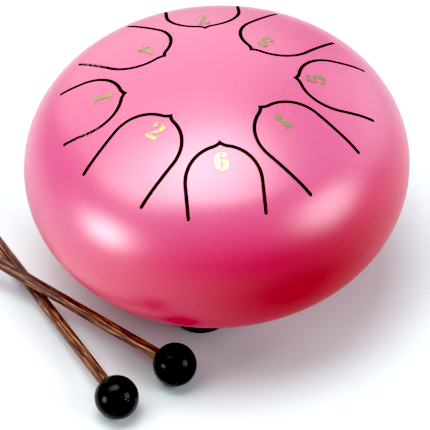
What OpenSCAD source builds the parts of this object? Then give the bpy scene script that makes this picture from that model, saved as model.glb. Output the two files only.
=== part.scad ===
// Steel tongue drum with eight notes, three rubber feet and a pair of mallets.
// The origin is on the drum's axis, at the level of the table that the feet stand on.
// The tongue of note 6 points to -Y, where the player sits. Sizes are in millimetres.

/* [Drum body] */
// Diameter of the drum at its equator
drum_d = 155; // [130:1:220]
// Height of each shell, from the equator to its crown
shell_h = 46; // [41:0.5:56]
// Radius of the rounded shoulder between the crown and the equator
shoulder_r = 37; // [28:0.5:42]
// Thickness of the sheet steel
wall_t = 1.2; // [0.8:0.1:2]
// Height of the weld that joins the shells at the equator
weld_h = 2; // [1:0.5:4]
// Height of the weld's root above the inside of the wall
weld_root = 0.4; // [0.2:0.1:1]
// Diameter of the sound hole in the bottom shell
sound_hole_d = 36; // [20:1:46]

/* [Tongues] */
// Width of a tongue, between the middles of its two side slits
tongue_w = 29.5; // [24:0.5:34]
// Width of the cut that frees a tongue
slit_w = 1.3; // [0.8:0.1:2]
// Height of the pointed tip above the round head of the slit
tip_rise = 1.4; // [0.8:0.1:2]
// Radius of the hollow curves that run up to the pointed tip
ogee_r = 5.8; // [4:0.1:9]

/* [Note numbers] */
// Height of a number
number_h = 7.6; // [5:0.2:9]
// Gap from the slit's tip down to the top of its number
number_gap = 4.4; // [2:0.2:6]
// Thickness of the foil that a number is cut from
foil_t = 0.15; // [0.1:0.05:0.4]

/* [Feet] */
// Gap between the bowl's lowest point and the table
belly_gap = 3.5; // [2:0.5:10]
// Diameter of a rubber foot at the table
foot_d = 23; // [16:1:26]
// Diameter of a rubber foot where it meets the bowl
foot_top_d = 25; // [23:0.5:28]
// Height of the straight wall at the bottom of a foot
foot_wall_h = 3.6; // [2:0.2:4]
// Size of the broken edge round the underside of a foot
foot_edge = 0.4; // [0.1:0.1:0.6]
// Radius of the circle that the feet stand on
foot_ring_r = 37; // [32:0.5:41]
// Angle of the front foot, round the drum's axis
foot_turn = -107; // [-180:1:180]

/* [Foot fasteners] */
// Diameter of the threaded stud in a foot
stud_d = 4; // [3:0.5:5]
// Clearance round a stud in its hole in the bowl
stud_clear = 0.2; // [0.1:0.05:0.5]
// Length of the stud that shows past its nut
stud_past_nut = 1.6; // [0.5:0.1:4]
// Diameter of the stud's plate inside the rubber
plate_d = 11; // [8:0.5:14]
// Thickness of the stud's plate
plate_t = 1.2; // [0.6:0.1:1.6]
// Depth of the plate below the bowl's outer face
plate_depth = 2.4; // [1.5:0.1:3]
// Diameter of the washer
washer_d = 9; // [8.5:0.5:14]
// Thickness of the washer
washer_t = 0.8; // [0.5:0.1:2]
// Width of the nut across its flats
nut_w = 7; // [6.8:0.2:8]
// Height of the nut
nut_h = 3.2; // [2:0.1:5]
// Clearance of the washer and the nut round the stud
thread_clear = 0.05; // [0.02:0.01:0.1]

/* [Mallets] */
// Length of a mallet, from the front of its ball to the end of its stick
mallet_l = 175; // [140:1:260]
// Diameter of the rubber ball
ball_d = 17.4; // [14:0.2:24]
// Diameter of the wooden stick
stick_d = 4.8; // [4:0.2:8]
// Depth of the stick's socket in the ball
socket_depth = 12; // [6:0.5:14]
// Clearance round the stick in its socket
socket_clear = 0.05; // [0.02:0.01:0.15]
// Gap between the two sticks where they cross
crossing_gap = 0.15; // [0.1:0.05:0.5]
// Place of the left mallet's ball, from the drum's axis to the right
left_ball_x = -47.8; // [-60:0.2:-44]
// Place of the left mallet's ball, from the drum's axis to the back
left_ball_y = -84.6; // [-100:0.2:-80]
// Direction that the left mallet's stick points in
left_turn = 115; // [112:0.5:120]
// Place of the right mallet's ball, from the drum's axis to the right
right_ball_x = -24; // [-30:0.2:-20]
// Place of the right mallet's ball, from the drum's axis to the back
right_ball_y = -70.2; // [-80:0.2:-66]
// Direction that the right mallet's stick points in
right_turn = 137.4; // [130:0.2:145]

/* [Hidden] */
$fn = 96;

// How far every cutting shape runs past what it cuts
overrun = 1;
// Facets round the crown's large circle
crown_facets = 240;

// The notes in order, clockwise from the front as seen from above: each note's digit
note_digits = [6, 2, 1, 4, 7, 3, 5, 1];
// Distance of each slit's tip from the axis, as a share of the drum's radius
tip_shares = [0.428, 0.322, 0.444, 0.321, 0.457, 0.308, 0.422, 0.313];
// Distance of each slit's two ends from the axis, as a share of the drum's radius
root_shares = [0.787, 0.774, 0.768, 0.748, 0.768, 0.736, 0.79, 0.783];
// Sideways place of each number on its tongue, as a share of its height
number_shift_shares = [0, -0.04, -0.26, -0.04, 0, 0.04, 0.08, 0.13];
// Distance of each number from its usual place towards the rim, as a share of its height
number_drop_shares = [0, 0.05, 0.03, 0.1, -0.12, 0.06, 0, 0.27];
// Turn of each number on its tongue
number_turns = [2, -1, -6, -4, 2, 8, 1, -1];
notes = len(note_digits);
note_step = 360 / notes;

// The shells: a crown that is part of a sphere runs smoothly into a round shoulder
drum_r = drum_d / 2;
shoulder_x = drum_r - shoulder_r;
crown_r = (pow(shoulder_x, 2) + pow(shell_h, 2) - pow(shoulder_r, 2)) / (2 * (shell_h - shoulder_r));
crown_low = shell_h - crown_r;
crown_reach = (crown_r + 2 * overrun) / norm([shoulder_x, crown_low]);
equator_z = shell_h + belly_gap;
bowl_crown_z = equator_z - crown_low;

// The tongues: a round head, straight sides and a tip between two hollow curves
head_r = tongue_w / 2;
tip_y = head_r + tip_rise;
ogee_d = head_r + ogee_r;
ogee_turn = acos((pow(tip_y, 2) + pow(ogee_d, 2) - pow(ogee_r, 2)) / (2 * tip_y * ogee_d));
ogee_x = ogee_d * sin(ogee_turn);
ogee_y = ogee_d * cos(ogee_turn);
// Steps along each hollow curve
tip_steps = 6;

// The feet, and their studs that stand square to the bowl's wall
foot_r = foot_d / 2;
foot_top_r = foot_top_d / 2;
foot_step = 120;
foot_angles = [for (foot = [0:2]) foot_turn + foot * foot_step];
foot_top_z = bowl_crown_z - sqrt(pow(crown_r, 2) - pow(foot_ring_r + foot_top_r, 2)) + overrun;
stud_tilt = asin(foot_ring_r / crown_r);
washer_seat = sqrt(pow(crown_r - wall_t, 2) - pow(washer_d / 2, 2));
nut_seat = washer_seat - washer_t;
stud_end = nut_seat - nut_h - stud_past_nut;
plate_seat = crown_r + plate_depth;

// The mallets: a ball and the stick's end lie on the table, and the right stick lies on the left one
ball_r = ball_d / 2;
stick_r = stick_d / 2;
stick_run = mallet_l - ball_r - stick_r;
stick_start = ball_r - socket_depth;
left_ball = [left_ball_x, left_ball_y];
right_ball = [right_ball_x, right_ball_y];
left_dir = [cos(left_turn), sin(left_turn)];
right_dir = [cos(right_turn), sin(right_turn)];
ball_gap = right_ball - left_ball;
dir_cross = left_dir[0] * right_dir[1] - left_dir[1] * right_dir[0];
left_crossing = (ball_gap[0] * right_dir[1] - ball_gap[1] * right_dir[0]) / dir_cross;
right_crossing = (ball_gap[0] * left_dir[1] - ball_gap[1] * left_dir[0]) / dir_cross;
left_rise = asin((stick_r - ball_r) / stick_run);
crossing_z = ball_r + left_crossing * tan(left_rise) + stick_d + crossing_gap;
right_rise = atan((crossing_z - ball_r) / right_crossing);

// Digit outlines, in shares of the digit's height. The third value is 1 on the outline,
// and 0 at a point that only pulls the curve towards it.
one_shares = [
    [-0.3, 0, 1], [0.3, 0, 1], [0.3, 0.06, 1], [0.14, 0.07, 0], [0.13, 0.16, 1], [0.13, 1, 1],
    [-0.02, 1, 1], [-0.1, 0.88, 0], [-0.3, 0.86, 1], [-0.3, 0.8, 1], [-0.13, 0.8, 1],
    [-0.13, 0.16, 1], [-0.14, 0.07, 0], [-0.3, 0.06, 1]
];
two_shares = [
    [-0.35, 0, 1], [0.3, 0, 1], [0.35, 0.33, 1], [0.3, 0.33, 1], [0.27, 0.2, 0], [0.12, 0.2, 1],
    [-0.14, 0.2, 1], [0.02, 0.33, 0], [0.17, 0.43, 1], [0.36, 0.55, 0], [0.35, 0.74, 1],
    [0.34, 1, 0], [-0.02, 1, 1], [-0.33, 1, 0], [-0.34, 0.74, 1], [-0.33, 0.61, 0],
    [-0.22, 0.61, 1], [-0.1, 0.62, 0], [-0.1, 0.73, 1], [-0.1, 0.8, 0], [-0.2, 0.85, 1],
    [-0.16, 0.95, 0], [-0.04, 0.95, 1], [0.08, 0.94, 0], [0.08, 0.74, 1], [0.08, 0.58, 0],
    [-0.06, 0.42, 1], [-0.35, 0.08, 1]
];
three_shares = [
    [-0.02, 0, 1], [0.35, 0, 0], [0.35, 0.28, 1], [0.35, 0.48, 0], [0.12, 0.53, 1],
    [0.3, 0.6, 0], [0.3, 0.77, 1], [0.3, 1, 0], [-0.03, 1, 1], [-0.31, 1, 0], [-0.31, 0.8, 1],
    [-0.31, 0.68, 0], [-0.2, 0.68, 1], [-0.09, 0.68, 0], [-0.09, 0.79, 1], [-0.1, 0.87, 0],
    [-0.18, 0.89, 1], [-0.14, 0.95, 0], [-0.05, 0.95, 1], [0.05, 0.94, 0], [0.05, 0.77, 1],
    [0.05, 0.57, 0], [-0.12, 0.56, 1], [-0.12, 0.5, 1], [0.09, 0.5, 0], [0.09, 0.27, 1],
    [0.09, 0.06, 0], [-0.05, 0.05, 1], [-0.15, 0.05, 0], [-0.19, 0.11, 1], [-0.1, 0.14, 0],
    [-0.1, 0.22, 1], [-0.1, 0.33, 0], [-0.22, 0.33, 1], [-0.34, 0.32, 0], [-0.34, 0.2, 1],
    [-0.33, 0, 0]
];
four_shares = [
    [-0.14, 0, 1], [0.28, 0, 1], [0.28, 0.06, 1], [0.19, 0.07, 0], [0.18, 0.14, 1], [0.18, 0.21, 1],
    [0.34, 0.21, 1], [0.34, 0.28, 1], [0.18, 0.28, 1], [0.18, 1, 1], [0.08, 1, 1],
    [-0.36, 0.28, 1], [-0.36, 0.21, 1], [-0.06, 0.21, 1], [-0.06, 0.14, 1], [-0.06, 0.07, 0],
    [-0.14, 0.06, 1]
];
four_eye_shares = [[-0.28, 0.28, 1], [-0.06, 0.28, 1], [-0.06, 0.66, 1]];
five_shares = [
    [-0.04, 0, 1], [0.34, 0, 0], [0.34, 0.32, 1], [0.34, 0.64, 0], [0.02, 0.64, 1],
    [-0.12, 0.64, 0], [-0.2, 0.57, 1], [-0.19, 0.8, 1], [0.1, 0.78, 0], [0.26, 0.84, 1],
    [0.31, 1, 1], [-0.24, 1, 1], [-0.26, 0.49, 1], [-0.2, 0.47, 1], [-0.16, 0.57, 0],
    [-0.04, 0.57, 1], [0.07, 0.56, 0], [0.07, 0.3, 1], [0.07, 0.05, 0], [-0.05, 0.05, 1],
    [-0.14, 0.05, 0], [-0.2, 0.12, 1], [-0.11, 0.15, 0], [-0.11, 0.23, 1], [-0.11, 0.34, 0],
    [-0.22, 0.34, 1], [-0.34, 0.33, 0], [-0.34, 0.21, 1], [-0.33, 0, 0]
];
six_shares = [
    [0, 0, 1], [0.35, 0, 0], [0.35, 0.32, 1], [0.34, 0.6, 0], [0.07, 0.6, 1], [-0.03, 0.6, 0],
    [-0.07, 0.52, 1], [-0.08, 0.94, 0], [0.06, 0.95, 1], [0.12, 0.95, 0], [0.15, 0.9, 1],
    [0.07, 0.87, 0], [0.07, 0.79, 1], [0.08, 0.69, 0], [0.18, 0.69, 1], [0.29, 0.7, 0],
    [0.29, 0.81, 1], [0.28, 1, 0], [0.04, 1, 1], [-0.35, 0.98, 0], [-0.35, 0.47, 1],
    [-0.35, 0, 0]
];
six_eye_shares = [
    [0, 0.05, 1], [0.07, 0.05, 0], [0.07, 0.31, 1], [0.07, 0.54, 0], [0.01, 0.54, 1],
    [-0.07, 0.54, 0], [-0.07, 0.3, 1], [-0.07, 0.05, 0]
];
seven_shares = [
    [-0.12, 0, 1], [0.13, 0, 1], [0.14, 0.3, 0], [0.25, 0.58, 1], [0.33, 0.76, 0], [0.34, 1, 1],
    [-0.25, 1, 1], [-0.31, 0.64, 1], [-0.26, 0.64, 1], [-0.22, 0.8, 0], [-0.02, 0.8, 1],
    [0.22, 0.8, 1], [0.06, 0.58, 0], [-0.04, 0.38, 1], [-0.12, 0.2, 0]
];
// Steps along each curve of a digit's outline
curve_steps = 5;

// The point halfway between two points
function halfway(a, b) = (a + b) / 2;

// The points along one curve, which starts at a, is pulled towards b and ends at c
function curve(a, b, c) = [
    for (i = [1:curve_steps])
        let (t = i / curve_steps)
        pow(1 - t, 2) * a + 2 * t * (1 - t) * b + pow(t, 2) * c
];

// A digit's outline as points: straight between points on it, curved past pulling points
function outline(shares, size) = [
    for (i = [0:len(shares) - 1])
        let (
            p = shares[i],
            before = shares[(i + len(shares) - 1) % len(shares)],
            after = shares[(i + 1) % len(shares)],
            start = before[2] == 1 ? before : halfway(before, p),
            end = after[2] == 1 ? after : halfway(p, after),
            run = p[2] == 1 ? [p] : curve(start, p, end)
        )
        for (q = run)
            if (p[2] == 1 || after[2] == 0 || q != end) [q[0], q[1]] * size
];

// The flat shape of one digit, with its foot on the X axis
module digit(n, size) {
    difference() {
        polygon(outline([one_shares, two_shares, three_shares, four_shares, five_shares, six_shares,
            seven_shares][n - 1], size));
        if (n == 4) polygon(outline(four_eye_shares, size));
        if (n == 6) polygon(outline(six_eye_shares, size));
    }
}

// The area inside a shell, right of the axis and above the equator, drawn in from its outer face
module shell_area(inset) {
    intersection() {
        union() {
            translate([shoulder_x, 0]) circle(shoulder_r - inset);
            intersection() {
                translate([0, crown_low]) circle(crown_r - inset, $fn = crown_facets);
                polygon([
                    [0, 0],
                    [shoulder_x, 0],
                    [shoulder_x * crown_reach, crown_low - crown_low * crown_reach],
                    [shoulder_x * crown_reach, shell_h + overrun],
                    [0, shell_h + overrun]
                ]);
            }
        }
        square([drum_r + overrun, shell_h + overrun]);
    }
}

// The layer between two distances inside a shell's outer face, from a height above the equator up
module shell_layer(outer_inset, inner_inset, from_z) {
    rotate_extrude() intersection() {
        difference() {
            shell_area(outer_inset);
            shell_area(inner_inset);
        }
        translate([0, from_z]) square([drum_r + overrun, shell_h + overrun]);
    }
}

// Places a child that is drawn above the equator at the upper shell, its seam between two tongues
module at_top() {
    translate([0, 0, equator_z]) rotate(note_step / 2) children();
}

// Places a child that is drawn above the equator at the lower shell, its seam between two feet
module at_bottom() {
    translate([0, 0, equator_z]) mirror([0, 0, 1]) rotate(foot_turn + foot_step / 2) children();
}

// Points up one side of a tongue's tip, along the hollow curve that starts on its round head
function tip_side(grow, side, last) =
    let (
        r = ogee_r - grow,
        from = 180 + atan(ogee_y / ogee_x),
        to = 180 + acos(ogee_x / r)
    )
    [
        for (i = [1:last])
            let (a = from + (to - from) * i / tip_steps)
            [side * (ogee_x + r * cos(a)), ogee_y + r * sin(a)]
    ];

// A list of points in the other order
function backwards(points) = [for (i = [len(points) - 1:-1:0]) points[i]];

// The flat outline of one tongue: its head's centre is the origin and its tip points to +Y
module tongue_area(grow, root_y) {
    circle(head_r + grow);
    translate([-head_r - grow, root_y]) square([2 * (head_r + grow), -root_y]);
    polygon(concat(
        [[0, 0]],
        tip_side(grow, 1, tip_steps),
        backwards(tip_side(grow, -1, tip_steps - 1))
    ));
}

// The flat shape of one slit, which stops at the tongue's root with round ends
module slit_area(root_y) {
    intersection() {
        difference() {
            tongue_area(slit_w / 2, root_y);
            tongue_area(-slit_w / 2, root_y - overrun);
        }
        translate([-tongue_w, root_y]) square([2 * tongue_w, tongue_w - root_y]);
    }
    for (side = [-1, 1]) translate([side * head_r, root_y]) circle(slit_w / 2);
}

// Places a child on one note's tongue, where the tongue's head has its centre
module on_tongue(note) {
    rotate(-note * note_step) translate([0, -tip_shares[note] * drum_r - tip_y]) children();
}

// The length from the centre of a tongue's head to the ends of its slit
function root_length(note) = (root_shares[note] - tip_shares[note]) * drum_r - tip_y;

// Places a child so that its Z axis runs from the bowl's crown centre through a foot
module on_stud(angle) {
    translate([0, 0, bowl_crown_z]) rotate([0, 180 - stud_tilt, angle]) children();
}

// The plate and the shank of a foot's stud
module stud_shape() {
    translate([0, 0, stud_end]) cylinder(h = plate_seat - stud_end, d = stud_d);
    translate([0, 0, plate_seat]) cylinder(h = plate_t, d = plate_d);
}

// Places a child so that its Z axis runs from a mallet's ball along its stick
module on_mallet(ball, turn, rise) {
    translate([ball[0], ball[1], ball_r]) rotate([0, 90 - rise, turn]) children();
}

// Upper shell of the drum, with the slits that free its eight tongues
module top_shell() {
    color("#f0508c") difference() {
        at_top() shell_layer(0, wall_t, weld_h / 2);
        for (note = [0:notes - 1])
            translate([0, 0, equator_z]) on_tongue(note)
                linear_extrude(shell_h + overrun) slit_area(-root_length(note));
    }
}

// Lower shell of the drum, with its sound hole and the holes for the feet's studs
module bottom_shell() {
    color("#c8204c") difference() {
        at_bottom() shell_layer(0, wall_t, weld_h / 2);
        cylinder(h = shell_h, d = sound_hole_d);
        for (angle = foot_angles)
            on_stud(angle) translate([0, 0, crown_r - wall_t - overrun])
                cylinder(h = wall_t + 2 * overrun, d = stud_d + 2 * stud_clear);
    }
}

// Weld at the equator, flush outside and raised inside
module seam_weld() {
    color("#e04078") translate([0, 0, equator_z]) rotate_extrude() intersection() {
        difference() {
            translate([shoulder_x, 0]) circle(shoulder_r);
            translate([shoulder_x, 0]) circle(shoulder_r - wall_t - weld_root);
        }
        translate([shoulder_x, -weld_h / 2]) square([shoulder_r + overrun, weld_h]);
    }
}

// Foil number on a tongue, curved like the shell that it is stuck to
module number_sticker(note) {
    color("#d9c878") intersection() {
        at_top() shell_layer(-foil_t, 0, weld_h / 2);
        translate([0, 0, equator_z]) on_tongue(note)
            translate([
                number_shift_shares[note] * number_h,
                tip_y - number_gap - (1 + number_drop_shares[note]) * number_h
            ])
                rotate(number_turns[note])
                    linear_extrude(shell_h + overrun) digit(note_digits[note], number_h);
    }
}

// Rubber foot, whose top follows the bowl and holds its stud's plate
module foot(angle) {
    color("#1c1c1e") difference() {
        rotate(angle) translate([foot_ring_r, 0]) rotate_extrude() polygon([
            [0, 0],
            [foot_r - foot_edge, 0],
            [foot_r, foot_edge],
            [foot_r, foot_wall_h],
            [foot_top_r, foot_top_z],
            [0, foot_top_z]
        ]);
        at_bottom() rotate_extrude() shell_area(0);
        on_stud(angle) stud_shape();
    }
}

// Steel stud that is moulded into a foot
module foot_stud(angle) {
    color("#b8bcc0") on_stud(angle) stud_shape();
}

// Washer on the inside of the bowl
module foot_washer(angle) {
    color("#c4c8cc") on_stud(angle) translate([0, 0, nut_seat]) difference() {
        cylinder(h = washer_t, d = washer_d);
        translate([0, 0, -overrun]) cylinder(h = washer_t + 2 * overrun, d = stud_d + 2 * thread_clear);
    }
}

// Hexagonal nut that pulls a foot against the bowl
module foot_nut(angle) {
    color("#a8acb0") on_stud(angle) translate([0, 0, nut_seat - nut_h]) difference() {
        cylinder(h = nut_h, d = nut_w / cos(30), $fn = 6);
        translate([0, 0, -overrun]) cylinder(h = nut_h + 2 * overrun, d = stud_d + 2 * thread_clear);
    }
}

// Wooden stick of a mallet, with a round end
module mallet_stick(ball, turn, rise) {
    color("#6e2a1c") on_mallet(ball, turn, rise) {
        translate([0, 0, stick_start]) cylinder(h = stick_run - stick_start, d = stick_d);
        translate([0, 0, stick_run]) sphere(stick_r);
    }
}

// Rubber ball of a mallet, with a blind socket for its stick
module mallet_ball(ball, turn, rise) {
    color("#161617") on_mallet(ball, turn, rise) difference() {
        sphere(ball_r);
        translate([0, 0, stick_start]) cylinder(h = ball_d, d = stick_d + 2 * socket_clear);
    }
}

top_shell();
bottom_shell();
seam_weld();
number_sticker(0);  // number_6
number_sticker(1);  // number_2
number_sticker(2);  // number_1_high
number_sticker(3);  // number_4
number_sticker(4);  // number_7
number_sticker(5);  // number_3
number_sticker(6);  // number_5
number_sticker(7);  // number_1_low
foot(foot_angles[0]);  // front_foot
foot(foot_angles[1]);  // right_foot
foot(foot_angles[2]);  // back_foot
foot_stud(foot_angles[0]);  // front_foot_stud
foot_stud(foot_angles[1]);  // right_foot_stud
foot_stud(foot_angles[2]);  // back_foot_stud
foot_washer(foot_angles[0]);  // front_foot_washer
foot_washer(foot_angles[1]);  // right_foot_washer
foot_washer(foot_angles[2]);  // back_foot_washer
foot_nut(foot_angles[0]);  // front_foot_nut
foot_nut(foot_angles[1]);  // right_foot_nut
foot_nut(foot_angles[2]);  // back_foot_nut
mallet_stick(left_ball, left_turn, left_rise);  // left_mallet_stick
mallet_ball(left_ball, left_turn, left_rise);  // left_mallet_ball
mallet_stick(right_ball, right_turn, right_rise);  // right_mallet_stick
mallet_ball(right_ball, right_turn, right_rise);  // right_mallet_ball
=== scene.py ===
"""A small pink steel tongue drum and its two mallets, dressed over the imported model."""
import math

import bpy
import numpy as np
from mathutils import Matrix, Vector


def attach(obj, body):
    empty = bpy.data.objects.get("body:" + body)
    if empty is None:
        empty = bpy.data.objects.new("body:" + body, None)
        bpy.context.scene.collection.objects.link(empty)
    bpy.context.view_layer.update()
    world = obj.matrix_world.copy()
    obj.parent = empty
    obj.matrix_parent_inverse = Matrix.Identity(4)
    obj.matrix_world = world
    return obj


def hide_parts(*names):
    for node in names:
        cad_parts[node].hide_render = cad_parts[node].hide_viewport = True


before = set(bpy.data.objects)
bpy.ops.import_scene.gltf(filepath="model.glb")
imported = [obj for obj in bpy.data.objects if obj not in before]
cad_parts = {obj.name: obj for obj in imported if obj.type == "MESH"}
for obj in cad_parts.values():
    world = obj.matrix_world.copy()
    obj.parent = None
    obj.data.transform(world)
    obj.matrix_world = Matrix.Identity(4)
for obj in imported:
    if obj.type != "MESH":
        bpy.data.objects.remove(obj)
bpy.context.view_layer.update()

scene = bpy.context.scene
MM = 0.001

# The drum's sizes in millimetres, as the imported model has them
DRUM_R, SHELL_H, SHOULDER_R, WALL = 77.5, 46.0, 37.0, 1.2
EQUATOR_Z, WELD_H = 49.5, 2.0
SHOULDER_X = DRUM_R - SHOULDER_R
CROWN_R = (SHOULDER_X**2 + SHELL_H**2 - SHOULDER_R**2) / (2 * (SHELL_H - SHOULDER_R))
CROWN_Z = EQUATOR_Z + SHELL_H - CROWN_R
# How far the wall leans where the crown's sphere runs into the round shoulder
TURN_OVER = math.atan2(SHOULDER_X, CROWN_R - SHELL_H)

# The tongues' sizes in millimetres, and each tongue's tip and root as shares of the drum's radius
HEAD_R, SLIT_W, TIP_RISE, HOLLOW_R = 14.75, 1.3, 1.4, 5.8
TIP_SHARES = [0.428, 0.322, 0.444, 0.321, 0.457, 0.308, 0.422, 0.313]
ROOT_SHARES = [0.787, 0.774, 0.768, 0.748, 0.768, 0.736, 0.79, 0.783]
NOTES = len(TIP_SHARES)
# Half the angle in degrees of the sheet that goes with each tongue: a long tongue's is the wider one
HALF_SECTORS = [20.5, 24.5] * (NOTES // 2)
# Size of the softened edge where the paint rounds over the cut
EASED_EDGE = 0.16
# How many points lie along a slit's straight side, its round head, its hollow curve and its round end
STRAIGHT_N, HEAD_N, HOLLOW_N, CAP_N = 9, 21, 7, 9
# How many faces lie from a slit to its tongue's middle line, to the sector's border, and to the weld
INWARD_N, OUTWARD_N, DOWNWARD_N = 7, 6, 22
# The radius that the sector's border has beside some of the slit's points, counted from its root
BORDER_POINTS, BORDER_RADII = [0, 8, 18, 28], [62, 45, 31, 12]

# The mallets' sizes in millimetres, where their balls lie, and the way each stick points in degrees
BALL_R, STICK_R, MALLET_L = 8.7, 2.4, 175.0
SOCKET_DEPTH, SOCKET_CLEAR, SOCKET_LIP_R, CROSSING_GAP = 12.0, 0.05, 0.4, 0.15
SIDES = ("left", "right")
BALL_PLACES = [(-47.8, -84.6), (-24.0, -70.2)]
STICK_TURNS = [115, 137.4]
# Along the stick from the ball's centre: the socket's floor, and where the stick's round end begins
SOCKET_FLOOR, STICK_RUN = BALL_R - SOCKET_DEPTH, MALLET_L - BALL_R - STICK_R
# How many points lie along a stick, round it and over its end
STICK_LONG_N, STICK_ROUND_N, STICK_END_N = 121, 49, 9
# How many points lie along a ball's arc, round it, over its socket's lip, down the socket and across it
BALL_ARC_N, BALL_ROUND_N, LIP_N, SOCKET_N, SOCKET_FLOOR_N = 49, 97, 8, 5, 4


# ---------------------------------------------------------------- surfaces


def meridian(lean, inset):
    """Radius and height on the shell, where its normal leans by an angle from upright: round the
    crown's circle up to TURN_OVER, then round the shoulder's circle, both less the inset."""
    on_crown = lean < TURN_OVER
    crown, shoulder = CROWN_R - inset, SHOULDER_R - inset
    r = np.where(on_crown, crown * np.sin(lean), SHOULDER_X + shoulder * np.sin(lean))
    z = np.where(on_crown, CROWN_Z + crown * np.cos(lean), EQUATOR_Z + shoulder * np.cos(lean))
    return r, z


def lean_at(r, inset):
    """The shell normal's lean at a radius: the arcsine on the crown's circle or on the shoulder's."""
    on_crown = r < (CROWN_R - inset) * math.sin(TURN_OVER)
    crown = np.arcsin(np.clip(r / (CROWN_R - inset), 0, 1))
    shoulder = np.arcsin(np.clip((r - SHOULDER_X) / (SHOULDER_R - inset), -1, 1))
    return np.where(on_crown, crown, shoulder)


def straight_length(note):
    """How long a slit's straight sides are, from its root to its head's centre."""
    return (ROOT_SHARES[note] - TIP_SHARES[note]) * DRUM_R - HEAD_R - TIP_RISE


def slit_side(note, grow):
    """One edge of a slit in plan, grown from its middle line, from the left root over the tip to the
    right root: a straight side, a round head and a hollow curve, and the same again mirrored.
    The head's centre is the origin and the drum's axis lies on +Y."""
    reach, rise = HEAD_R + HOLLOW_R, HEAD_R + TIP_RISE
    turn = math.acos((rise**2 + reach**2 - HOLLOW_R**2) / (2 * rise * reach))
    hx, hy = reach * math.sin(turn), reach * math.cos(turn)
    straight = np.linspace(-straight_length(note), 0, STRAIGHT_N)[:-1]
    head = np.linspace(math.pi, math.pi / 2 + turn, HEAD_N)
    r = HOLLOW_R - grow
    hollow = np.linspace(-math.atan2(hy, hx), -math.acos(hx / r), HOLLOW_N)[1:]
    x = np.concatenate([0 * straight - HEAD_R - grow, (HEAD_R + grow) * np.cos(head),
                        -hx + r * np.cos(hollow)])
    y = np.concatenate([straight, (HEAD_R + grow) * np.sin(head), hy + r * np.sin(hollow)])
    return np.stack([np.concatenate([x, -x[-2::-1]]), np.concatenate([y, y[-2::-1]])], -1)


def slit_cap(note, side, radius):
    """The round end of a slit in plan, a half circle below its root, from its outer edge to its
    inner."""
    a = np.linspace(0, math.pi, CAP_N)
    x, y = side * (HEAD_R + radius * np.cos(a)), -straight_length(note) - radius * np.sin(a)
    return np.stack([x, y], -1)


def to_drum(note, plan):
    """Plan points from a tongue's own frame to the drum's, before the drum's turn to that note."""
    return plan - np.array([0, TIP_SHARES[note] * DRUM_R + HEAD_R + TIP_RISE])


def turned(note, points):
    """Points or normals turned round the drum's axis to one note, clockwise from the front."""
    a = -note * 2 * math.pi / NOTES
    out = points.copy()
    out[..., 0] = points[..., 0] * math.cos(a) - points[..., 1] * math.sin(a)
    out[..., 1] = points[..., 0] * math.sin(a) + points[..., 1] * math.cos(a)
    return out


def on_shell(note, plan, inset, drop=0.0):
    """Plan points of one note lifted to the shell, and the shell's normals there."""
    r = np.hypot(plan[..., 0], plan[..., 1])
    lean = lean_at(r, inset)
    _, z = meridian(lean, inset)
    across = plan / np.maximum(r, 1e-9)[..., None] * np.sin(lean)[..., None]
    points = np.concatenate([plan, (z - drop)[..., None]], -1)
    normals = np.concatenate([across, np.cos(lean)[..., None]], -1)
    return turned(note, points), turned(note, normals)


class Sheets:
    """Collects grids of points with a normal at each face corner, and makes them one closed mesh."""

    PER_MM = 2000  # points that round to the same 2000th of a millimetre are one point

    def __init__(self):
        self.faces, self.normals, self.cut_shade = [], [], []

    def add(self, points, normals, cut_shade=0.0):
        """A grid of points, rows by columns, as quads, turned so that they face the way of the
        normals. The last argument says, point by point, how far a cut edge is painted black as shade."""
        corners = [np.s_[:-1, :-1], np.s_[1:, :-1], np.s_[1:, 1:], np.s_[:-1, 1:]]
        p = np.stack([points[c].reshape(-1, 3) for c in corners], 1)
        n = np.stack([normals[c].reshape(-1, 3) for c in corners], 1)
        b = np.broadcast_to(cut_shade, points.shape[:2])
        b = np.stack([b[c].ravel() for c in corners], 1)
        facing = (np.cross(p[:, 2] - p[:, 0], p[:, 3] - p[:, 1]) * n.sum(1)).sum()
        if facing < 0:
            p, n, b = p[:, ::-1], n[:, ::-1], b[:, ::-1]
        self.faces.append(p)
        self.normals.append(n)
        self.cut_shade.append(b)

    def make(self, name, body, slot, material):
        """The mesh object: equal points merged, faces with fewer than three corners left dropped,
        millimetres turned to metres."""
        p, n, b = (np.concatenate(part) for part in (self.faces, self.normals, self.cut_shade))
        keys = np.round(p.reshape(-1, 3) * self.PER_MM).astype(np.int64)
        _, first, index = np.unique(keys, axis=0, return_index=True, return_inverse=True)
        index = index.reshape(-1, 4)
        keep = index != np.roll(index, -1, 1)
        whole = keep.sum(1) >= 3
        index, n, b, keep = index[whole], n[whole], b[whole], keep[whole]
        mesh = bpy.data.meshes.new(name)
        mesh.vertices.add(len(first))
        mesh.vertices.foreach_set("co", (p.reshape(-1, 3)[first] * MM).astype(np.float32).ravel())
        sizes = keep.sum(1)
        mesh.loops.add(int(sizes.sum()))
        mesh.loops.foreach_set("vertex_index", index[keep].astype(np.int32))
        mesh.polygons.add(len(sizes))
        starts = np.concatenate([[0], np.cumsum(sizes)[:-1]])
        mesh.polygons.foreach_set("loop_start", starts.astype(np.int32))
        mesh.polygons.foreach_set("use_smooth", np.ones(len(sizes), bool))
        mesh.update(calc_edges=True)
        corner = n[keep]
        corner /= np.maximum(np.linalg.norm(corner, axis=1, keepdims=True), 1e-9)
        mesh.normals_split_custom_set(corner.tolist())
        if b.any():
            slit_shade_paint = mesh.attributes.new("cut_shade", "FLOAT", "CORNER")
            slit_shade_paint.data.foreach_set("value", b[keep].astype(np.float32))
        piece = bpy.data.objects.new(name, mesh)
        scene.collection.objects.link(piece)
        mesh.materials.append(material)
        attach(piece, body)
        return piece


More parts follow.
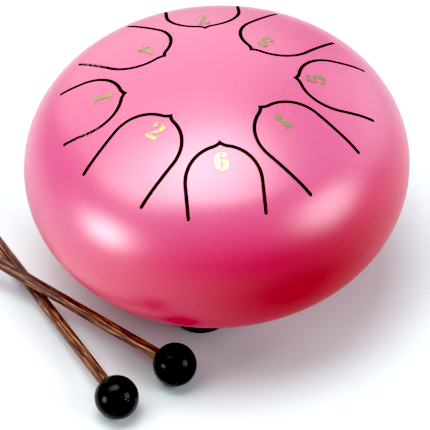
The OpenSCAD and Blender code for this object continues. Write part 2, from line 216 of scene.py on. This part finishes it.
def between(a, b, steps):
    """Rows of points that run straight from each point of a to the same point of b."""
    t = np.linspace(0, 1, steps + 1)[None, :, None]
    return a[:, None] * (1 - t) + b[:, None] * t


def sheet_of_note(sheets, note, inset, edge, end_lean, inside):
    """One note's share of the shell at an inset from its outer face, up to an edge's width from the
    slit: the tongue fills in to its middle line, the sheet round it runs out to the sector's two
    straight sides and in to the crown, and below the slit the sheet runs down to the weld, where its
    points stand evenly round the rim. It gives those points back."""
    half = math.radians(HALF_SECTORS[note])
    outer, inner = (slit_side(note, g) for g in (SLIT_W / 2 + edge, -SLIT_W / 2 - edge))
    middle = np.stack([0 * inner[:, 0], np.minimum(inner[:, 1], 0)], -1)
    out_d, in_d, mid_d = (to_drum(note, q) for q in (outer, inner, middle))
    tip = len(outer) // 2
    radii = np.interp(np.arange(tip + 1), BORDER_POINTS + [tip], BORDER_RADII + [0])
    left = np.stack([-radii * math.sin(half), -radii * math.cos(half)], -1)
    border = np.concatenate([left, (left * [-1, 1])[-2::-1]])

    for edge_line, far_line, steps in ((in_d, mid_d, INWARD_N), (out_d, border, OUTWARD_N)):
        for part in (np.s_[: tip + 1], np.s_[tip:]):
            points, normals = on_shell(note, between(edge_line[part], far_line[part], steps), inset)
            sheets.add(points, -normals if inside else normals)

    # the line of points that the slit's two ends hang from, left border to right border
    radius = SLIT_W / 2 + edge
    caps = [to_drum(note, slit_cap(note, s, radius)) for s in (-1, 1)]
    top = np.concatenate([
        between(border[:1], out_d[:1], OUTWARD_N)[0], caps[0][1:],
        between(in_d[:1], mid_d[:1], INWARD_N)[0][1:], between(mid_d[-1:], in_d[-1:], INWARD_N)[0][1:],
        caps[1][::-1][1:], between(out_d[-1:], border[-1:], OUTWARD_N)[0][1:],
    ])
    r, way = np.hypot(top[:, 0], top[:, 1]), np.arctan2(top[:, 0], -top[:, 1])
    first = lean_at(r, inset)[:, None]
    lean = first + (end_lean - first) * np.linspace(0, 1, DOWNWARD_N + 1)[None]
    rr, z = meridian(lean, inset)
    rr[:, 0] = r
    way = between(way[:, None], np.linspace(-half, half, len(way))[:, None], DOWNWARD_N)[..., 0]
    s, c = np.sin(way), np.cos(way)
    points = turned(note, np.stack([rr * s, -rr * c, z], -1))
    normals = turned(note, np.stack([np.sin(lean) * s, -np.sin(lean) * c, np.cos(lean)], -1))
    sheets.add(points, -normals if inside else normals)
    return points[:, -1]


def slit_loop(note, away):
    """The closed edge of a slit in plan, moved out into the sheet: its outer side from the left root
    to the right, the right end, its inner side back, and the left end."""
    outer, inner = slit_side(note, SLIT_W / 2 + away), slit_side(note, -SLIT_W / 2 - away)
    right, left = (slit_cap(note, s, SLIT_W / 2 + away) for s in (1, -1))
    return to_drum(note, np.concatenate([outer, right[1:], inner[::-1][1:], left[::-1][1:]]))


def slit_walls(sheets, note):
    """The cut faces of a slit: a quarter round from the outer face, then straight down to the
    inside. They are painted black as the shade in the slit, from the last part of the round all the way
    down."""
    arc = np.linspace(0, math.pi / 2, 5)
    loops = [slit_loop(note, EASED_EDGE * (1 - math.sin(a))) for a in arc]
    rim, _ = on_shell(note, loops[-1], 0)
    beyond, _ = on_shell(note, slit_loop(note, EASED_EDGE), 0)
    along = np.roll(rim, -1, 0) - np.roll(rim, 1, 0)
    along[0], along[-1] = rim[1] - rim[-2], rim[1] - rim[-2]
    out = np.cross(along, [0, 0, 1.0])
    out *= -np.sign((out * (beyond - rim)).sum(1, keepdims=True))
    out /= np.linalg.norm(out, axis=1, keepdims=True)
    points, normals = [], []
    for a, loop in zip(arc, loops):
        p, n = on_shell(note, loop, 0, EASED_EDGE * (1 - math.cos(a)))
        points.append(p)
        normals.append(n * math.cos(a) + out * math.sin(a))
    sheets.add(np.stack(points, 1), np.stack(normals, 1), np.clip(4 * np.sin(arc) - 3, 0, 1)[None])
    low, _ = on_shell(note, loops[-1], WALL)
    sheets.add(np.stack([points[-1], low], 1), np.stack([out, out], 1), 1.0)


def dome():
    """The upper shell: eight notes' sheets outside and inside, the slits' cut faces, and the flat
    ring that stands on the weld."""
    sheets = Sheets()
    ends = [math.acos(WELD_H / 2 / (SHOULDER_R - inset)) for inset in (0, WALL)]
    for note in range(NOTES):
        outer = sheet_of_note(sheets, note, 0, EASED_EDGE, ends[0], inside=False)
        inner = sheet_of_note(sheets, note, WALL, 0, ends[1], inside=True)
        slit_walls(sheets, note)
        ring = np.stack([outer, inner], 1)
        sheets.add(ring, np.broadcast_to([0, 0, -1.0], ring.shape))
    return sheets


# ---------------------------------------------------------------- materials


def linear(code):
    """An sRGB hex colour as linear red, green, blue and one."""
    v = np.array([int(code[i : i + 2], 16) for i in (1, 3, 5)]) / 255
    v = np.where(v <= 0.04045, v / 12.92, ((v + 0.055) / 1.055) ** 2.4)
    return (*v.tolist(), 1.0)


def add_node(tree, kind, inputs=None, **settings):
    """Adds a shader node. Settings are its properties or, where they name a socket, that socket's
    value. Inputs are sockets too, by name or number: another node's output, or a value."""
    node = tree.nodes.new("ShaderNode" + kind)
    for key, value in settings.items():
        if hasattr(node, key):
            setattr(node, key, value)
        else:
            node.inputs[key.replace("_", " ")].default_value = value
    for key, source in (inputs or {}).items():
        if isinstance(source, bpy.types.NodeSocket):
            tree.links.new(source, node.inputs[key])
        else:
            node.inputs[key].default_value = source
    return node


def new_material(name):
    """An empty node material, its node tree, and the object coordinates in that tree."""
    material = bpy.data.materials.new(name)
    material.use_nodes = True
    tree = material.node_tree
    tree.nodes.clear()
    place = add_node(tree, "TexCoord").outputs["Object"]
    return material, tree, place


def principled(tree, colour, rough=None, skin=None, inputs=None, **settings):
    """The material's shader and its output, from the nodes that give its colour, roughness and bump."""
    links = {"Base Color": colour.outputs["Color"], **(inputs or {})}
    if rough:
        links["Roughness"] = rough.outputs["Result"]
    if skin:
        links["Normal"] = skin.outputs["Normal"]
    shader = add_node(tree, "BsdfPrincipled", links, **settings)
    add_node(tree, "OutputMaterial", {"Surface": shader.outputs["BSDF"]})


def colour_ramp(tree, source, first, last, *inner):
    """A ramp over a texture node's value, through colours at given places from 0 to 1: the first and
    the last stop, and then any that lie in between."""
    node = add_node(tree, "ValToRGB", {"Fac": source.outputs["Fac"]})
    stops = node.color_ramp.elements
    for stop, (spot, code) in zip(stops, (first, last)):
        stop.position, stop.color = spot, linear(code)
    for spot, code in inner:
        stops.new(spot).color = linear(code)
    return node


def satin_enamel():
    """Pearl enamel, sprayed on steel and stoved: pink, with painted shade that turns it a deep crimson
    down the belly, and a clear satin coat with a hint of orange peel, which is thinned low at the front,
    where the painted shade is deepest. Its gloss is broad and soft, and fine mica gives it a faint
    grain. The slits' cut faces are painted black, as the shade in them."""
    material, tree, place = new_material("pearl_enamel")
    # mica flakes are about 0.05 mm, drawn 0.35 mm wide so that they show
    mica = add_node(tree, "TexVoronoi", {"Vector": place}, Scale=1 / (0.35 * MM), Randomness=1.0)
    cloud = add_node(tree, "TexNoise", {"Vector": place}, Scale=1 / (28 * MM), Detail=2.0)
    peel = add_node(tree, "TexNoise", {"Vector": place}, Scale=1 / (1.6 * MM), Detail=1.0)
    # painted shade round one place low at the front, a little to the right: the crimson is drawn deepest
    # there, and the clear coat is thinned so that it reflects little. The place is 28 mm right, 60 mm
    # forward and 45 mm up, and it is wider than it is high
    painted_shade_spot = add_node(tree, "Mapping", {"Vector": place}, Location=(-29.6 * MM, 48 * MM, -98.3 * MM),
                    Scale=(1.07, 0.8, 2.2))
    away = add_node(tree, "VectorMath", {"Vector": painted_shade_spot.outputs["Vector"]}, operation="LENGTH")
    coat = add_node(tree, "MapRange", {"Value": away.outputs["Value"]}, interpolation_type="SMOOTHSTEP",
                    From_Min=5.5 * MM, From_Max=98.4 * MM, To_Min=0.095, To_Max=1.0)
    shade_crimson = add_node(tree, "MixRGB", {"Fac": coat.outputs["Result"]}, Color1=linear("#A80006"),
                      Color2=linear("#D81857"))
    pink = add_node(tree, "MixRGB", {"Fac": cloud.outputs["Fac"]}, Color1=linear("#C7487A"),
                    Color2=linear("#CF5082"))
    # painted light and shade: pink where the drum is lit, from above and a little from the left and the
    # back, and crimson lower down
    toward_light = add_node(tree, "VectorMath", {0: place, 1: (-0.14, 0.306, 0.971)}, operation="DOT_PRODUCT")
    lit_share = add_node(tree, "MapRange", {"Value": toward_light.outputs["Value"]}, interpolation_type="SMOOTHSTEP",
                    From_Min=32.4 * MM, From_Max=65.6 * MM)
    paint = add_node(tree, "MixRGB", {"Fac": lit_share.outputs["Result"], "Color1": shade_crimson.outputs["Color"],
                                      "Color2": pink.outputs["Color"]})
    glint = add_node(tree, "MapRange", {"Value": mica.outputs["Color"]}, To_Min=0.89, To_Max=1.13)
    flake = add_node(tree, "MixRGB", {"Color1": paint.outputs["Color"],
                                      "Color2": glint.outputs["Result"]}, blend_type="MULTIPLY", Fac=1.0)
    # the cut faces are painted black, as the shade inside the slits, but for bright beads of steel, 0.3
    # mm across, which the cutter left at two places, drawn as pale painted glints: in the left tongue's
    # slit, and in the slit of the tongue behind it
    in_reach = []
    for spot, reach in (((-52, -14.8, 83.5), 7.5), ((-46.5, 25.8, 84.3), 8)):
        apart = add_node(tree, "VectorMath", {0: place, 1: [v * MM for v in spot]}, operation="DISTANCE")
        near = add_node(tree, "Math", {0: reach * MM, 1: apart.outputs["Value"]},
                        operation="GREATER_THAN")
        in_reach.append(near.outputs["Value"])
    glint_places = add_node(tree, "Math", dict(enumerate(in_reach)), operation="MAXIMUM")
    # painted glints: pale specks in the cut faces' colour at those two places
    bead_glint = add_node(tree, "TexNoise", {"Vector": place}, Scale=1 / (0.6 * MM), Detail=1.0)
    bead_glint = add_node(tree, "MapRange", {"Value": bead_glint.outputs["Fac"]}, From_Min=0.505, From_Max=0.55)
    bead_glint = add_node(tree, "Math", {0: bead_glint.outputs["Result"], 1: glint_places.outputs["Value"]},
                    operation="MULTIPLY")
    slit_shade_paint = add_node(tree, "MixRGB", {"Fac": bead_glint.outputs["Value"]}, Color1=linear("#0E0A0A"),
                     Color2=linear("#DDA6B3"))
    cut_shade = add_node(tree, "Attribute", attribute_name="cut_shade").outputs["Fac"]
    cut = add_node(tree, "MixRGB", {"Fac": cut_shade, "Color1": flake.outputs["Color"],
                                    "Color2": slit_shade_paint.outputs["Color"]})
    rough = add_node(tree, "MapRange", {"Value": mica.outputs["Distance"]}, To_Min=0.36, To_Max=0.42)
    coat = add_node(tree, "MixRGB", {"Fac": cut_shade, "Color1": coat.outputs["Result"]}, Color2=(0, 0, 0, 1))
    skin = add_node(tree, "Bump", {"Height": peel.outputs["Fac"]}, Strength=0.25, Distance=0.02 * MM)
    principled(tree, cut, rough, skin, {"Coat Weight": coat.outputs["Color"]}, IOR=1.45,
               Specular_IOR_Level=0.1, Coat_Roughness=0.35, Coat_IOR=2.0)
    return material


def gold_foil():
    """Hot-stamped gold foil: a pale, muted gold with a faint crinkle, and no lacquer."""
    material, tree, place = new_material("gold_foil")
    # the foil's crinkles are about 0.6 mm apart
    crinkle = add_node(tree, "TexNoise", {"Vector": place}, Scale=1 / (0.6 * MM), Detail=3.0)
    tone = colour_ramp(tree, crinkle, (0.35, "#94865C"), (0.7, "#C9B990"))
    rough = add_node(tree, "MapRange", {"Value": crinkle.outputs["Fac"]}, To_Min=0.3, To_Max=0.42)
    skin = add_node(tree, "Bump", {"Height": crinkle.outputs["Fac"]}, Strength=0.3, Distance=0.03 * MM)
    principled(tree, tone, rough, skin, Metallic=1.0)
    return material


def moulded_rubber(name, dark, pale, roughness, grain_mm, depth_mm, ior, dust):
    """Black rubber from a mould: nearly black, with fine pits that the mould left, a little bloom,
    and a few specks of dust that the rubber holds on to. The more dust, the more specks."""
    material, tree, place = new_material(name)
    pits = add_node(tree, "TexNoise", {"Vector": place}, Scale=1 / (grain_mm * MM), Detail=2.0)
    bloom = add_node(tree, "TexNoise", {"Vector": place}, Scale=1 / (5 * MM), Detail=3.0)
    tone = add_node(tree, "MixRGB", {"Fac": bloom.outputs["Fac"]}, Color1=linear(dark),
                    Color2=linear(pale))
    # specks are at most 0.3 mm across, each in the middle of a cell 1.9 mm wide, and not in every cell
    cell = add_node(tree, "TexVoronoi", {"Vector": place}, Scale=1 / (1.9 * MM), Randomness=1.0)
    near = add_node(tree, "Math", {0: cell.outputs["Distance"], 1: 0.085}, operation="LESS_THAN")
    some = add_node(tree, "Math", {0: cell.outputs["Color"], 1: dust}, operation="LESS_THAN")
    speck = add_node(tree, "Math", {0: near.outputs["Value"], 1: some.outputs["Value"]},
                     operation="MULTIPLY")
    dusty = add_node(tree, "MixRGB", {"Fac": speck.outputs["Value"], "Color1": tone.outputs["Color"]},
                     Color2=linear("#9A9A98"))
    rough = add_node(tree, "MapRange", {"Value": bloom.outputs["Fac"]}, To_Min=roughness * 0.85,
                     To_Max=roughness * 1.2)
    skin = add_node(tree, "Bump", {"Height": pits.outputs["Fac"]}, Strength=0.6, Distance=depth_mm * MM)
    principled(tree, dusty, rough, skin, IOR=ior)
    return material


def zinc_plate():
    """Bright zinc plating on steel fasteners: pale metal, cloudy where the plating is thicker."""
    material, tree, place = new_material("bright_zinc_plate")
    cloud = add_node(tree, "TexNoise", {"Vector": place}, Scale=1 / (1.5 * MM), Detail=4.0)
    tone = add_node(tree, "MixRGB", {"Fac": cloud.outputs["Fac"]}, Color1=linear("#B4B8BC"),
                    Color2=linear("#D6D7D2"))
    rough = add_node(tree, "MapRange", {"Value": cloud.outputs["Fac"]}, To_Min=0.22, To_Max=0.42)
    skin = add_node(tree, "Bump", {"Height": cloud.outputs["Fac"]}, Strength=0.3, Distance=0.02 * MM)
    principled(tree, tone, rough, skin, Metallic=1.0)
    return material


def stained_wood():
    """Open-grained hardwood, planed to a rod, stained red-brown and lacquered: dark pores and golden
    streaks that run along the stick, under a thin gloss."""
    material, tree, _ = new_material("stained_hardwood")
    # the stick's own frame: across it, and along it
    along = add_node(tree, "Attribute", attribute_name="stick_place").outputs["Vector"]
    stretch = add_node(tree, "Mapping", {"Vector": along}, vector_type="POINT", Scale=(1, 1, 0.045))
    # streaks are about 0.3 mm wide, pores 0.2 mm, and both are some twenty times as long
    streak = add_node(tree, "TexNoise", {"Vector": stretch.outputs["Vector"]}, Scale=1 / (0.62 * MM),
                      Detail=5.0, Roughness=0.7, Distortion=0.6)
    pore = add_node(tree, "TexNoise", {"Vector": stretch.outputs["Vector"]}, Scale=1 / (0.45 * MM),
                    Detail=2.0)
    tone = colour_ramp(tree, streak, (0.41, "#34100C"), (0.65, "#D8A468"),
                       (0.49, "#5E2418"), (0.55, "#845038"), (0.6, "#AE7E50"))
    fleck = add_node(tree, "MapRange", {"Value": pore.outputs["Fac"]}, From_Min=0.36, From_Max=0.5)
    grain = add_node(tree, "MixRGB", {"Fac": fleck.outputs["Result"], "Color2": tone.outputs["Color"]},
                     Color1=linear("#2A0C08"))
    skin = add_node(tree, "Bump", {"Height": pore.outputs["Fac"]}, Strength=0.7, Distance=0.06 * MM)
    principled(tree, grain, skin=skin, Roughness=0.6, IOR=1.5, Coat_Weight=0.08, Coat_Roughness=0.3)
    return material


# ---------------------------------------------------------------- pieces

enamel = satin_enamel()
foil = gold_foil()
foot_rubber = moulded_rubber("moulded_foot_rubber", "#151516", "#242426", roughness=0.62, grain_mm=0.5,
                             depth_mm=0.05, ior=1.5, dust=0.25)
ball_rubber = moulded_rubber("polished_ball_rubber", "#060607", "#0D0D0E", roughness=0.28, grain_mm=1.4,
                             depth_mm=0.02, ior=1.28, dust=0.5)
zinc = zinc_plate()
wood = stained_wood()

shell = dome().make("painted_dome", "drum", "pink_paint", enamel)
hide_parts("top_shell")

for name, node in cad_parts.items():
    if name in ("bottom_shell", "seam_weld"):
        finish = enamel
    elif name.startswith("number_"):
        finish = foil
    elif name.endswith("_foot"):
        finish = foot_rubber
    elif name.endswith("_ball"):
        finish = ball_rubber
    else:
        finish = zinc
    for material_slot in node.material_slots:
        material_slot.material = finish


def mallet_axes():
    """Each mallet's ball centre, stick direction and two directions across it. The left stick leans
    down to the table; the right one climbs from its ball to lie on the left one where they cross in
    plan."""
    balls = [np.array([*place, BALL_R]) for place in BALL_PLACES]
    ways = [np.array([math.cos(t), math.sin(t)]) for t in map(math.radians, STICK_TURNS)]
    apart = (balls[1] - balls[0])[:2]
    cross = ways[0][0] * ways[1][1] - ways[0][1] * ways[1][0]
    left_at = (apart[0] * ways[1][1] - apart[1] * ways[1][0]) / cross
    right_at = (apart[0] * ways[0][1] - apart[1] * ways[0][0]) / cross
    left_rise = math.asin((STICK_R - BALL_R) / STICK_RUN)
    right_rise = math.atan((left_at * math.tan(left_rise) + 2 * STICK_R + CROSSING_GAP) / right_at)
    axes = {}
    for side, ball, way, rise in zip(SIDES, balls, ways, (left_rise, right_rise)):
        axis = np.array([*(way * math.cos(rise)), math.sin(rise)])
        across = np.cross([0, 0, 1.0], axis)
        across /= np.linalg.norm(across)
        axes[side] = ball, axis, across, np.cross(axis, across)
    return axes


def mallet_stick(side, material):
    """A planed wooden stick: circles carried along its axis, each drawn in by up to a tenth of a
    millimetre where slow waves round it and along it dip, with a flat end in the ball's socket and a
    round outer end. It carries its own frame's places for the grain."""
    ball, axis, across, up = mallet_axes()[side]
    cap = np.linspace(0, math.pi / 2, STICK_END_N)[1:]
    t = np.concatenate([[SOCKET_FLOOR], np.linspace(SOCKET_FLOOR, STICK_RUN, STICK_LONG_N),
                        STICK_RUN + STICK_R * np.sin(cap)])
    r = np.concatenate([[0], np.full(STICK_LONG_N, STICK_R), STICK_R * np.cos(cap)])
    a = np.linspace(0, 2 * math.pi, STICK_ROUND_N)
    # each stick has its own waves and its own grain: five waves round it wind one way, and three wind
    # the other way more slowly, and all of them begin within 4 mm of the ball
    seed = 1.7 if side == "left" else 4.1
    dip, clear_of_ball = 0.011, 4.0
    five = np.sin(5 * a[None] + t[:, None] / 9 + seed)
    three = np.sin(3 * a[None] - t[:, None] / 23 + 2 * seed)
    outside = np.clip((t - BALL_R) / clear_of_ball, 0, 1)[:, None]
    radius = r[:, None] * (1 - dip * outside * (five + three + 2))
    x, y = radius * np.cos(a), radius * np.sin(a)
    x[:, -1], y[:, -1] = x[:, 0], y[:, 0]
    place = np.stack([x, y, np.broadcast_to(t[:, None], x.shape)], -1)
    lean = np.concatenate([np.zeros(1 + STICK_LONG_N), cap])[:, None]
    normals = np.stack([np.cos(lean) * np.cos(a), np.cos(lean) * np.sin(a),
                        np.sin(lean) * np.ones_like(a)], -1)
    basis = np.stack([across, up, axis])
    sheets = Sheets()
    sheets.add(ball + place[1:] @ basis, normals[1:] @ basis)
    end = np.broadcast_to(-axis, place[:2].shape)
    sheets.add(ball + place[:2] @ basis, end)
    stick = sheets.make(side + "_stick", side + "_mallet", "stained_wood", material)
    co = np.zeros(len(stick.data.vertices) * 3, np.float32)
    stick.data.vertices.foreach_get("co", co)
    own = (co.reshape(-1, 3) - ball * MM) @ basis.T + [0, 0, seed]
    spot = stick.data.attributes.new("stick_place", "FLOAT_VECTOR", "POINT")
    spot.data.foreach_set("vector", own.astype(np.float32).ravel())
    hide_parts(side + "_mallet_stick")


def mallet_ball(side, material):
    """A moulded rubber ball: a profile turned round the stick's axis, from the far pole round the
    ball's arc, over the socket's rounded mouth, down its straight wall and in across its flat floor."""
    ball, axis, across, up = mallet_axes()[side]
    mouth, edge = STICK_R + SOCKET_CLEAR, SOCKET_LIP_R
    turn = math.asin((mouth + edge) / (BALL_R - edge))
    seat = (BALL_R - edge) * math.cos(turn)
    arc, lip = np.linspace(math.pi, turn, BALL_ARC_N), np.linspace(turn, -math.pi / 2, LIP_N)
    lean = np.concatenate([arc, lip])[:, None]
    r = np.concatenate([BALL_R * np.sin(arc), mouth + edge + edge * np.sin(lip)])[:, None]
    z = np.concatenate([BALL_R * np.cos(arc), seat + edge * np.cos(lip)])[:, None]
    a = np.linspace(0, 2 * math.pi, BALL_ROUND_N)
    c, s = np.cos(a), np.sin(a)
    c[-1], s[-1] = c[0], s[0]
    basis = np.stack([across, up, axis])
    down, inward = np.linspace(seat, SOCKET_FLOOR, SOCKET_N), np.linspace(mouth, 0, SOCKET_FLOOR_N)
    sheets = Sheets()
    ones = np.ones_like(c)
    for rr, zz, radial, along in (
        (r, z, np.sin(lean), np.cos(lean)),
        (np.full((SOCKET_N, 1), mouth), down[:, None], -1.0, 0.0),
        (inward[:, None], np.full((SOCKET_FLOOR_N, 1), SOCKET_FLOOR), 0.0, 1.0),
    ):
        points = np.stack([rr * c, rr * s, zz * ones], -1)
        radial, along = radial * np.ones_like(rr), along * np.ones_like(rr)
        normals = np.stack([radial * c, radial * s, along * ones], -1)
        sheets.add(ball + points @ basis, normals @ basis)
    rubber_ball = sheets.make(side + "_ball", side + "_mallet", "ball_rubber", material)
    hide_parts(side + "_mallet_ball")


for side in SIDES:
    mallet_stick(side, wood)
    mallet_ball(side, ball_rubber)

# ---------------------------------------------------------------- studio

LAMP_DISTANCE, FLOOR_HALF = 2.4, 4.0
# Each lamp's name, azimuth and elevation in degrees, width in metres, power in watts, and tint
LAMPS = (
    ("overhead", 85, 82, 1.4, 32.2, "#F0FFFB"),
    ("shoulder_lamp", 170, 65, 1.6, 23.5, "#F5FFFB"),
    ("back_panel", 102, 29, 3.0, 26.7, "#F4FFFE"),
    ("right_panel", 36, 17, 2.2, 13.7, "#E6FFFD"),
    ("left_lamp", -158, 12, 1.05, 31.5, "#FFFAF8"),
    ("right_lamp", -25, 26, 1.5, 34.5, "#EFFCFF"),
)
# Light at or below this level is drawn black, as it is in the photograph
BLACK_LEVEL = 0.04

# The camera: the photograph's width and the focal length in its pixels, the angles in degrees, and
# the way to it from the drum's middle, in drum radii to the right, up and back
PHOTO_PX, FOCAL_PX, SENSOR_MM = 430, 2640.611, 36
CAMERA_TURN, CAMERA_RISE, CAMERA_ROLL = -2.648, 44.5367, 3.076
CAMERA_OFFSET = (-0.0083, -0.2726, 13.7074)


def pale_floor():
    """A flat pale floor without gloss, with a painted pool of light round the drum: its tone falls off
    from 0.15 m out, so that a bright drum stands out against it from low down."""
    s = FLOOR_HALF
    floor_mesh = bpy.data.meshes.new("floor")
    floor_mesh.from_pydata([(-s, -s, 0), (s, -s, 0), (s, s, 0), (-s, s, 0)], [], [(0, 1, 2, 3)])
    floor = bpy.data.objects.new("floor", floor_mesh)
    scene.collection.objects.link(floor)
    material, tree, place = new_material("pale_table")
    cloud = add_node(tree, "TexNoise", {"Vector": place}, Scale=3.0, Detail=2.0)
    tone = add_node(tree, "MixRGB", {"Fac": cloud.outputs["Fac"]}, Color1=linear("#DCDEE2"),
                    Color2=linear("#E2E4E8"))
    # painted light: the floor's colour darkens from 0.15 m to 0.5 m out, towards grey
    out = add_node(tree, "VectorMath", {"Vector": place}, operation="LENGTH")
    far = add_node(tree, "MapRange", {"Value": out.outputs["Value"]}, From_Min=0.15, From_Max=0.5)
    tone = add_node(tree, "MixRGB", {"Fac": far.outputs["Result"], "Color1": tone.outputs["Color"]},
                    Color2=linear("#B3AEB0"))
    principled(tree, tone, Roughness=1.0, Specular_IOR_Level=0.0)
    floor_mesh.materials.append(material)


def even_room():
    """An even pale room all round, which fills the shadows."""
    world = bpy.data.worlds.new("room")
    scene.world = world
    world.use_nodes = True
    background = world.node_tree.nodes["Background"].inputs
    background["Color"].default_value = linear("#F4F6FA")
    background["Strength"].default_value = 0.3


def soft_lamp(name, azimuth, elevation, size, power, tint):
    """A round soft lamp that faces the drum's middle from a direction given round it. The six stand
    where the photograph's highlights say. The light is cooler from the right and the back, as from a
    window, and warmer from the left."""
    a, e = math.radians(azimuth), math.radians(elevation)
    way = Vector((math.cos(a) * math.cos(e), math.sin(a) * math.cos(e), math.sin(e)))
    light = bpy.data.lights.new(name, "AREA")
    light.shape, light.size, light.energy, light.color = "DISK", size, power, linear(tint)[:3]
    lamp_object = bpy.data.objects.new(name, light)
    place = Matrix.Translation(way * LAMP_DISTANCE + Vector((0, 0, EQUATOR_Z * MM)))
    lamp_object.matrix_world = place @ way.to_track_quat("Z", "Y").to_matrix().to_4x4()
    scene.collection.objects.link(lamp_object)


def photo_camera():
    """The camera where the photograph was taken from, found by fitting the drum's outline and slits."""
    camera = bpy.data.objects.new("camera", bpy.data.cameras.new("camera"))
    camera.data.sensor_width, camera.data.lens = SENSOR_MM, FOCAL_PX * SENSOR_MM / PHOTO_PX
    camera.data.clip_start, camera.data.clip_end = 0.05, 20
    turn, rise, roll = (math.radians(v) for v in (CAMERA_TURN, CAMERA_RISE, CAMERA_ROLL))
    back = Vector((math.sin(turn) * math.cos(rise), -math.cos(turn) * math.cos(rise), math.sin(rise)))
    right = Vector((math.cos(turn), math.sin(turn), 0))
    up = back.cross(right)
    right, up = (right * math.cos(roll) - up * math.sin(roll),
                 right * math.sin(roll) + up * math.cos(roll))
    over, above, behind = CAMERA_OFFSET
    place = (right * over + up * above + back * behind) * DRUM_R * MM + Vector((0, 0, EQUATOR_Z * MM))
    camera.matrix_world = Matrix.Translation(place) @ Matrix((right, up, back)).transposed().to_4x4()
    scene.collection.objects.link(camera)
    scene.camera = camera


pale_floor()
even_room()
for lamp in LAMPS:
    soft_lamp(*lamp)
photo_camera()
scene.view_settings.view_transform = "Standard"
scene.view_settings.use_curve_mapping = True
scene.view_settings.curve_mapping.black_level = (BLACK_LEVEL,) * 3
